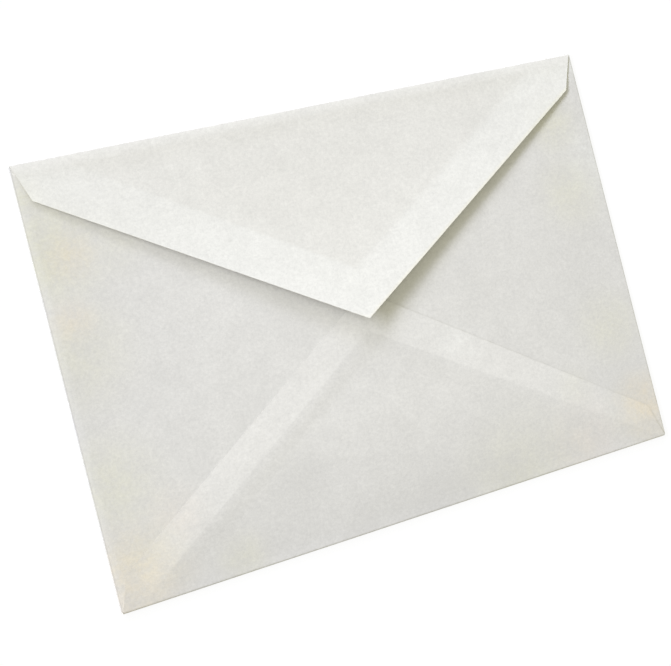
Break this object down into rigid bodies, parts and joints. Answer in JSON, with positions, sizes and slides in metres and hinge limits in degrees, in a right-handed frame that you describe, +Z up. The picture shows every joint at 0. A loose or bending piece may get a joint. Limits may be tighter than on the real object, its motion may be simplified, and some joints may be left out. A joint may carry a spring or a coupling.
{
  "type": "paper envelope",
  "caption": "Empty letter envelope folded from one sheet of pale paper, gummed at its lower laps, with its pointed closing flap unsealed and springing up a little.",
  "frame": {"origin": "middle of the address side, at its lowest face", "axes": "+X along the long side, +Y towards the crease of the closing flap, +Z up out of the flap side"},
  "size_m": [0.162, 0.114, 0.0041],
  "materials": {
    "paper": "matt uncoated writing paper, off-white, faintly mottled, warmer towards its edges"
  },
  "bodies": {
    "root": {"envelope": "paper"}
  },
  "joints": []
}
